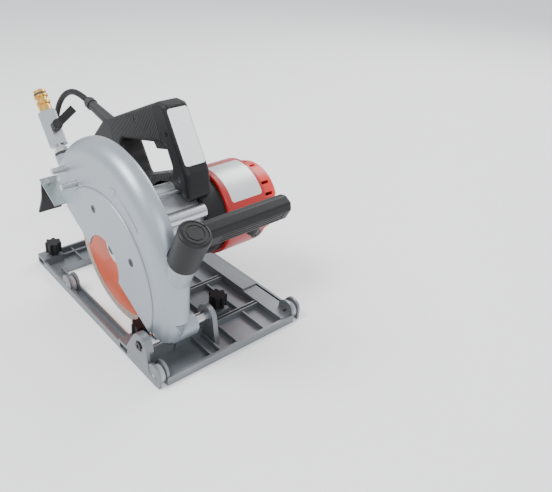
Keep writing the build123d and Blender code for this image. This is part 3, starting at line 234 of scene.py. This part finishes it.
FLOOR_HALF = 6.0
floor_grid = np.array([[[x, y, 0.0] for x in (-FLOOR_HALF, FLOOR_HALF)] for y in (-FLOOR_HALF, FLOOR_HALF)])
floor = surface("floor", floor_grid)
floor_paint = Finish("floor_paint", (0.86, 0.86, 0.87), 0.6)
floor_tone = floor_paint.noise(3.0)
floor_paint.set("Base Color", floor_paint.mix(floor_tone, (0.85, 0.85, 0.86), (0.88, 0.88, 0.885)))
put_on(floor, floor_paint)

sky = bpy.data.worlds.new("studio")
sky.use_nodes = True
sky.node_tree.nodes["Background"].inputs["Color"].default_value = (0.95, 0.97, 1.0, 1)
sky.node_tree.nodes["Background"].inputs["Strength"].default_value = 1.15
bpy.context.scene.world = sky


def soft_box(name, place, aim, size, power, tint=(1, 1, 1)):
    """A square area light that faces a point."""
    data = bpy.data.lights.new(name, "AREA")
    data.size = size
    data.energy = power
    data.color = tint
    lamp = bpy.data.objects.new(name, data)
    bpy.context.scene.collection.objects.link(lamp)
    lamp.location = place
    lamp.rotation_euler = (Vector(place) - Vector(aim)).to_track_quat("Z", "Y").to_euler()


soft_box("key", (-0.4, -1.1, 1.7), (0, 0, 0.1), 0.9, 42)
soft_box("fill", (1.6, -0.3, 1.1), (0, 0, 0.1), 0.8, 14, (0.96, 0.98, 1.0))
soft_box("back", (-0.3, 1.5, 1.3), (0, 0, 0.15), 0.9, 22)

# ---------------------------------------------------------------- free cord
# Round rubber mains cord of 8 mm. It arches out of the grip's sleeve, hangs to the floor and
# is wound there into two layers of four turns that end at the plug.
CORD_R = 4.0 * MM
LAY_Z = 4.3
CORD_START = (-169.97, 5.5, 195.31)
CORD_HANG = [
    (-197.2, 5.5, 200.85), (-224.5, 3.0, 195.5), (-244.5, -1.0, 177.5), (-253.5, -5.0, 150.0),
    (-256.5, -5.0, 116.0), (-259.0, 1.0, 80.0), (-262.0, 9.0, 39.8), (-265.0, 22.0, 17.3),
    (-268.0, 44.5, LAY_Z),
]
CORD_TAIL = [(-259.6, 43.2, 12.9), (-277.0, 60.6, 13.3)]
COIL_X = -214.4
COIL_Y = 78.0
COIL_OUT = 56.6
COIL_STEP = 8.4
COIL_TURNS = 4
TURN_POINTS = 24
SHIFT_FROM = 320.0
COIL_SHORT = 58
COIL_EASE = 1.003
TUBE_SIDES = 14


def coil_points():
    """Turns wound inwards on the floor, then outwards on top of them. Each turn keeps its radius,
    and moves to the next one, or up one layer, over its last 40 degrees."""
    last = 2 * COIL_TURNS * 360 - COIL_SHORT
    found = []
    for wound in np.arange(0, last + 1, 360 / TURN_POINTS):
        turn = int(wound // 360)
        moved = np.clip((wound % 360 - SHIFT_FROM) / (360 - SHIFT_FROM), 0, 1)
        moved = moved * moved * (3 - 2 * moved)
        if turn < COIL_TURNS - 1:
            radius = COIL_OUT - COIL_STEP * (turn + moved)
            height = LAY_Z
        elif turn == COIL_TURNS - 1:
            radius = COIL_OUT - COIL_STEP * turn
            height = LAY_Z + COIL_STEP * moved
        else:
            radius = COIL_OUT - COIL_STEP * (2 * COIL_TURNS - 1 - turn - moved)
            height = LAY_Z + COIL_STEP
        radius *= COIL_EASE
        angle = radians(180 - wound)
        found.append((COIL_X + radius * cos(angle), COIL_Y + radius * sin(angle), height))
    return found


def cord_line(points):
    """The smooth line of the cord: a NURBS curve of order 3 through its route's control points."""
    data = bpy.data.curves.new("cord_line", "CURVE")
    data.dimensions = "3D"
    data.resolution_u = 4
    spline = data.splines.new("NURBS")
    spline.points.add(len(points) - 1)
    for point, place in zip(spline.points, points):
        point.co = (place[0] * MM, place[1] * MM, place[2] * MM, 1)
    spline.order_u = 3
    spline.use_endpoint_u = True
    carrier = bpy.data.objects.new("cord_line", data)
    bpy.context.scene.collection.objects.link(carrier)
    mesh = bpy.data.meshes.new_from_object(carrier)
    line = np.zeros(len(mesh.vertices) * 3)
    mesh.vertices.foreach_get("co", line)
    bpy.data.objects.remove(carrier)
    bpy.data.meshes.remove(mesh)
    return line.reshape(-1, 3)


def tube_grid(line, radius, sides):
    """A ring of points round each place of a line. The ring's frame is carried along the line
    without twist, by taking out of it the part that lies along the new direction."""
    along = np.gradient(line, axis=0)
    along /= np.linalg.norm(along, axis=1, keepdims=True)
    side = np.zeros_like(line)
    now = np.cross(along[0], (0.0, 0.3, 1.0))
    for i, direction in enumerate(along):
        now = now - direction * now.dot(direction)
        now /= np.linalg.norm(now)
        side[i] = now
    other = np.cross(along, side)
    angle = np.linspace(0, 2 * np.pi, sides, endpoint=False)
    radius = np.broadcast_to(radius, len(line))[:, None, None]
    ring = np.cos(angle)[None, :, None] * side[:, None] + np.sin(angle)[None, :, None] * other[:, None]
    return line[:, None] + radius * ring


cord_path = cord_line([CORD_START] + CORD_HANG + coil_points() + CORD_TAIL)
cord_grid = tube_grid(cord_path, CORD_R, TUBE_SIDES)
cord = outward(surface("free_cord", cord_grid, close_v=True, caps=(True, True)))
rubber = Finish("cord_rubber", (0.005, 0.005, 0.0055), 0.55)
rubber.set("Specular IOR Level", 0.32)
rubber_grain = rubber.noise(900, 4)
rubber.set("Roughness", 0.48 + rubber_grain * 0.18)
rubber.bump(rubber_grain, 0.25, 0.0002)
put_on(cord, rubber)
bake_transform(cord)
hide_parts("cord", "cord_coil")

# ---------------------------------------------------------------- cast parts
# Guard, pivot hub and handle column are one aluminium casting under silver-grey satin paint; the
# cover is painted the same.
PIVOT_X = 108.5
PIVOT_Z = 32.0
REST_TILT = radians(26.5)


def at_rest(x, y, z):
    """Head points, in mm from the pivot with the disc lowered, turned up to rest and put in metres."""
    x, y, z = np.broadcast_arrays(x, y, z)
    world_x = PIVOT_X + x * cos(REST_TILT) + z * sin(REST_TILT)
    world_z = PIVOT_Z - x * sin(REST_TILT) + z * cos(REST_TILT)
    return np.stack([world_x, y, world_z], -1) * MM


silver = Finish("silver_paint", (0.30, 0.335, 0.37), 0.36, metal=0.6)
silver_fleck = silver.noise(1500, 2)
silver_cloud = silver.noise(18, 3)
silver.set("Base Color", silver.mix(silver_cloud, (0.27, 0.305, 0.34), (0.33, 0.365, 0.40)))
silver.set("Roughness", 0.30 + silver_cloud * 0.10 + silver_fleck * 0.06)
silver.bump(silver_fleck, 0.12, 0.0001)
for name in ("head_casting", "blade_cover"):
    put_on(nodes[name], silver)

# A direction arrow stands half a millimetre proud of the guard's face, cast with it.
ARROW_CENTRE = (-112.0, 3.0)
ARROW_FROM = 100.5
ARROW_TO = 66.0
ARROW_R0 = 94.0
ARROW_R1 = 99.5
ARROW_BARB = 0.2
BARB_HALF_W = 4.7
TIP_HALF_W = 0.1
SHAFT_HALF_W = 0.9
ARROW_PROUD = 0.4
ARROW_SUNK = 0.5
FACE_Y = -83.0


def arrow_grid():
    """A flat bar swept along an arc of the guard's face: its width rises from nothing at the tip
    to the barb, steps down to the shaft and stays there."""
    run = np.linspace(0, 1, 90)
    angle = np.radians(ARROW_FROM + (ARROW_TO - ARROW_FROM) * run)
    radius = ARROW_R0 + (ARROW_R1 - ARROW_R0) * run
    widening = TIP_HALF_W + (BARB_HALF_W - TIP_HALF_W) * run / ARROW_BARB
    half = np.where(run < ARROW_BARB, widening, SHAFT_HALF_W)
    side = np.array([-1.0, 1.0, 1.0, -1.0])
    depth = np.array([ARROW_PROUD, ARROW_PROUD, -ARROW_SUNK, -ARROW_SUNK])
    reach = radius[:, None] + half[:, None] * side[None]
    x = ARROW_CENTRE[0] + reach * np.cos(angle)[:, None]
    z = ARROW_CENTRE[1] + reach * np.sin(angle)[:, None]
    return at_rest(x, FACE_Y + np.broadcast_to(depth, x.shape), z)


arrow = outward(surface("guard_arrow", arrow_grid(), close_v=True, caps=(True, True)))
arrow.data.shade_flat()
put_on(arrow, silver)
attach(arrow, "head")

# ---------------------------------------------------------------- base
# Ribbed aluminium casting, blasted all over and left bare, with faint casting scale in its pockets.
cast = Finish("blasted_casting", (0.20, 0.215, 0.23), 0.45, metal=0.8)
cast_grain = cast.noise(700, 5, 0.6)
cast_cloud = cast.noise(26, 4)
cast.set("Base Color", cast.mix(cast_cloud, (0.17, 0.185, 0.20), (0.25, 0.265, 0.28)))
cast.set("Roughness", 0.36 + cast_grain * 0.16)
cast.bump(cast_grain, 0.35, 0.00025)
put_on(nodes["base_plate"], cast)

# ---------------------------------------------------------------- turned steel
# Shaft, screws, posts, flanges and pins are turned steel, bright or blackened.
steel = Finish("turned_steel", (0.52, 0.53, 0.54), 0.28, metal=1.0)
steel_line = steel.noise(300, 3, stretch=(1, 12, 1))
steel.set("Roughness", 0.20 + steel_line * 0.18)
steel.bump(steel_line, 0.1, 0.0001)
for name in ("pivot_shaft", "roller_pins", "deflector_screw", "guard_posts", "inner_flange",
             "outer_flange", "spindle", "driven_gear", "valve_fitting", "valve_ball", "lift_spring",
             "spindle_bearings", "armature_bearings", "armature_shaft"):
    put_on(nodes[name], steel)
dark_steel = Finish("blackened_steel", (0.06, 0.06, 0.065), 0.38, metal=0.9)
dark_grain = dark_steel.noise(1200, 2)
dark_steel.set("Roughness", 0.32 + dark_grain * 0.15)
for name in ("shaft_screws", "cover_screws", "case_screws", "end_cap_screws", "handle_screws",
             "disc_bolt"):
    put_on(nodes[name], dark_steel)

# ---------------------------------------------------------------- water deflector
# A bent sheet of zinc-plated steel under the guard's rear, with a curved rubber flap below it.
zinc = Finish("zinc_sheet", (0.25, 0.29, 0.29), 0.4, metal=0.8)
zinc_cloud = zinc.noise(60, 4)
zinc.set("Base Color", zinc.mix(zinc_cloud, (0.21, 0.25, 0.25), (0.30, 0.34, 0.34)))
zinc.set("Roughness", 0.32 + zinc_cloud * 0.15)
put_on(nodes["deflector_plate"], zinc)
flap_rubber = Finish("flap_rubber", (0.016, 0.017, 0.018), 0.6)
flap_grain = flap_rubber.noise(500, 4)
flap_rubber.set("Roughness", 0.5 + flap_grain * 0.2)
flap_rubber.bump(flap_grain, 0.3, 0.0003)
for name in ("spray_flap", "fitting_seal", "nipple_seal", "cord_sleeve"):
    put_on(nodes[name], flap_rubber)

# ---------------------------------------------------------------- gear case
# Die-cast aluminium case with four round bosses, sand-finished and bright.
case = Finish("bright_casting", (0.55, 0.57, 0.60), 0.3, metal=0.9)
case_grain = case.noise(900, 3)
case.set("Roughness", 0.26 + case_grain * 0.12)
case.bump(case_grain, 0.15, 0.00015)
put_on(nodes["gear_case"], case)

# ---------------------------------------------------------------- motor
# Red moulded barrel and a lighter red slotted cap on a black flange.
red = Finish("red_barrel", (0.34, 0.008, 0.006), 0.32, coat=0.1)
red_grain = red.noise(1400, 2)
red_cloud = red.noise(20, 2)
red.set("Base Color", red.mix(red_cloud, (0.31, 0.006, 0.005), (0.37, 0.010, 0.007)))
red.set("Roughness", 0.28 + red_grain * 0.14)
red.bump(red_grain, 0.15, 0.0001)
put_on(nodes["motor_housing"], red)

# A painted highlight: a pale silver patch laid round the top of the barrel stands for the sheen of light on
# the red plastic.
BARREL = (-99.6, 42.15)
BARREL_R = 50.0
HIGHLIGHT_Y = (41.0, 84.0)
HIGHLIGHT_L = HIGHLIGHT_Y[1] - HIGHLIGHT_Y[0]
HIGHLIGHT_ARC = 55.0
HIGHLIGHT_TURN = (58.0, 121.0)
HIGHLIGHT_LIFT = 0.15
CORNER_R = 3.0


def highlight_grid():
    """A patch of the barrel's cylinder for the painted highlight, its four corners drawn in along a circle
    of 3 mm.
    """
    u = np.linspace(-1, 1, 41)[:, None]
    v = np.linspace(0, 1, 61)[None]
    end = np.clip(CORNER_R / HIGHLIGHT_L - (1 - np.abs(u)) / 2, 0, None) * HIGHLIGHT_L / CORNER_R
    trim = (1 - np.sqrt(1 - end ** 2)) * CORNER_R / HIGHLIGHT_ARC
    share = trim + v * (1 - 2 * trim)
    turn = np.radians(HIGHLIGHT_TURN[0] + (HIGHLIGHT_TURN[1] - HIGHLIGHT_TURN[0]) * share)
    y = (HIGHLIGHT_Y[0] + HIGHLIGHT_Y[1]) / 2 + u * HIGHLIGHT_L / 2 + 0 * v
    radius = BARREL_R + HIGHLIGHT_LIFT
    return at_rest(BARREL[0] + radius * np.cos(turn), y, BARREL[1] + radius * np.sin(turn))


barrel_highlight = surface("barrel_highlight", highlight_grid())
# Pale silver painted highlight, not a part of the saw: the sheen of the light on the red barrel.
highlight_finish = Finish("painted_highlight", (0.62, 0.63, 0.63), 0.34, metal=0.5)
highlight_streaks = highlight_finish.noise(160, 2, stretch=(1, 14, 1))
highlight_finish.set("Roughness", 0.28 + highlight_streaks * 0.16)
put_on(barrel_highlight, highlight_finish)
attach(barrel_highlight, "head")
cap_red = Finish("red_cap", (0.56, 0.028, 0.018), 0.35, coat=0.1)
cap_grain = cap_red.noise(1400, 2)
cap_red.set("Roughness", 0.30 + cap_grain * 0.14)
cap_red.bump(cap_grain, 0.15, 0.0001)
put_on(nodes["end_cap"], cap_red)
laminate = Finish("stacked_sheet", (0.20, 0.20, 0.21), 0.45, metal=0.9)
laminate_line = laminate.noise(900, 1, stretch=(0.05, 1, 0.05))
laminate.set("Roughness", 0.38 + laminate_line * 0.2)
laminate.bump(laminate_line, 0.4, 0.0003)
for name in ("stator", "armature_core"):
    put_on(nodes[name], laminate)
bronze = Finish("sintered_bronze", (0.42, 0.24, 0.10), 0.4, metal=0.95)
bronze_grain = bronze.noise(1200, 2)
bronze.set("Roughness", 0.34 + bronze_grain * 0.18)
for name in ("commutator", "brush_holders", "pivot_bushes"):
    put_on(nodes[name], bronze)

# ---------------------------------------------------------------- black mouldings
# Glass-filled nylon: the side grip and small knobs are plain and satin, the main grip has a
# fine texture with narrow ribs across the palm side.
nylon = Finish("satin_nylon", (0.0045, 0.0045, 0.005), 0.42)
nylon.set("Specular IOR Level", 0.32)
nylon_grain = nylon.noise(1600, 3)
nylon.set("Roughness", 0.34 + nylon_grain * 0.2)
nylon.bump(nylon_grain, 0.25, 0.0001)
for name in ("front_handle", "bearing_plate", "trigger", "switch_module", "brushes", "brush_caps",
             "plug", "valve_lever", "fan", "knob_rear_left", "knob_front_left", "knob_right"):
    put_on(nodes[name], nylon)
grip = Finish("textured_nylon", (0.005, 0.005, 0.0055), 0.5)
grip.set("Specular IOR Level", 0.32)
grip_grain = grip.noise(2200, 2)
grip.set("Roughness", 0.42 + grip_grain * 0.2)
GRIP_A = np.array((-264.0, 44.0))
GRIP_B = np.array((-182.0, 144.0))
RIB_A = (-252.0, 59.0)
RIB_B = (-186.0, 139.0)
RIB_STEP = 3.2 * MM
grip_along = (GRIP_B - GRIP_A) / np.linalg.norm(GRIP_B - GRIP_A)
along_x = grip_along[0] * cos(REST_TILT) + grip_along[1] * sin(REST_TILT)
along_z = -grip_along[0] * sin(REST_TILT) + grip_along[1] * cos(REST_TILT)
rib_from = at_rest(RIB_A[0], 0.0, RIB_A[1])
rib_to = at_rest(RIB_B[0], 0.0, RIB_B[1])
rib_first = float(rib_from[0] * along_x + rib_from[2] * along_z)
rib_last = float(rib_to[0] * along_x + rib_to[2] * along_z)
rib_ends = {0: grip.place(), 1: (along_x, 0, along_z)}
travel = grip.node("VectorMath", {"operation": "DOT_PRODUCT"}, rib_ends, out=1)
ribs = grip.node("Math", {"operation": "SINE"}, {0: travel * (2 * np.pi / RIB_STEP)})
ribbed = (travel > rib_first) * (travel < rib_last)
grip.bump(ribs * ribbed * 0.5 + grip_grain * 0.15, 0.8, 0.0008)
for name in ("handle_left", "handle_right"):
    put_on(nodes[name], grip)

# A bare white vinyl label lies on the handle's sloping front face and wraps over its soft edges.
LABEL_A = np.array((-169.0, 150.0))
LABEL_B = np.array((-104.0, 113.0))
LABEL_RUN = (4.5, 66.0)
LABEL_HALF_W = 12.8
GRIP_MID_Y = 5.5
FACE_HALF_W = 10.5
EDGE_R = 5.0
LABEL_LIFT = 0.2


def label_grid():
    """A sheet along the face's slope: flat in the middle, dropped along the edge rounding at its
    sides, and narrowed to round corners of 3 mm at its ends."""
    slope = (LABEL_B - LABEL_A) / np.linalg.norm(LABEL_B - LABEL_A)
    normal = np.array((-slope[1], slope[0]))
    run = np.linspace(LABEL_RUN[0], LABEL_RUN[1], 81)[:, None]
    to_end = np.minimum(run - LABEL_RUN[0], LABEL_RUN[1] - run)
    corner = np.clip(CORNER_R - to_end, 0, CORNER_R)
    half = LABEL_HALF_W - CORNER_R + np.sqrt(CORNER_R ** 2 - corner ** 2)
    across = np.linspace(-1, 1, 41)[None] * half
    over = np.clip(np.abs(across) - FACE_HALF_W, 0, EDGE_R)
    drop = EDGE_R - np.sqrt(EDGE_R ** 2 - over ** 2)
    rise = LABEL_LIFT - drop
    x = LABEL_A[0] + run * slope[0] + rise * normal[0]
    z = LABEL_A[1] + run * slope[1] + rise * normal[1]
    return at_rest(x, GRIP_MID_Y + across, z)


label = surface("handle_label", label_grid())
vinyl = Finish("white_vinyl", (0.80, 0.81, 0.81), 0.28, coat=0.3)
vinyl_tone = vinyl.noise(60, 2)
vinyl.set("Roughness", 0.24 + vinyl_tone * 0.1)
put_on(label, vinyl)
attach(label, "head")

# ---------------------------------------------------------------- rollers
# Turned pale nylon wheels on steel pins.
pale = Finish("grey_nylon", (0.33, 0.35, 0.37), 0.4, metal=0.35)
pale_grain = pale.noise(500, 2)
pale.set("Roughness", 0.36 + pale_grain * 0.15)
for name in ("roller_rear_left", "roller_front_left", "roller_front_right", "roller_rear_right"):
    put_on(nodes[name], pale)

# ---------------------------------------------------------------- water line
# Brass hose nipple on a nickel-plated hexagon valve.
brass = Finish("turned_brass", (0.72, 0.43, 0.11), 0.24, metal=1.0)
brass_line = brass.noise(400, 2)
brass.set("Roughness", 0.18 + brass_line * 0.14)
put_on(nodes["hose_nipple"], brass)
nickel = Finish("nickel_plate", (0.50, 0.53, 0.56), 0.3, metal=0.95)
nickel_line = nickel.noise(500, 3)
nickel.set("Roughness", 0.24 + nickel_line * 0.14)
put_on(nodes["valve_body"], nickel)

# ---------------------------------------------------------------- cutting disc
# Lacquered steel core with sintered diamond segments on its rim.
core = Finish("lacquered_core", (0.52, 0.07, 0.018), 0.35, metal=0.2, coat=0.2)
core_cloud = core.noise(40, 3)
core.set("Base Color", core.mix(core_cloud, (0.47, 0.055, 0.014), (0.58, 0.085, 0.022)))
core.set("Roughness", 0.3 + core_cloud * 0.15)
put_on(nodes["disc_core"], core)
diamond = Finish("diamond_segments", (0.42, 0.34, 0.30), 0.6, metal=0.5)
diamond_grain = diamond.noise(900, 5, 0.7)
diamond.set("Base Color", diamond.mix(diamond_grain, (0.30, 0.24, 0.21), (0.56, 0.46, 0.41)))
diamond.set("Roughness", 0.5 + diamond_grain * 0.25)
diamond.bump(diamond_grain, 0.6, 0.0004)
put_on(nodes["disc_rim"], diamond)
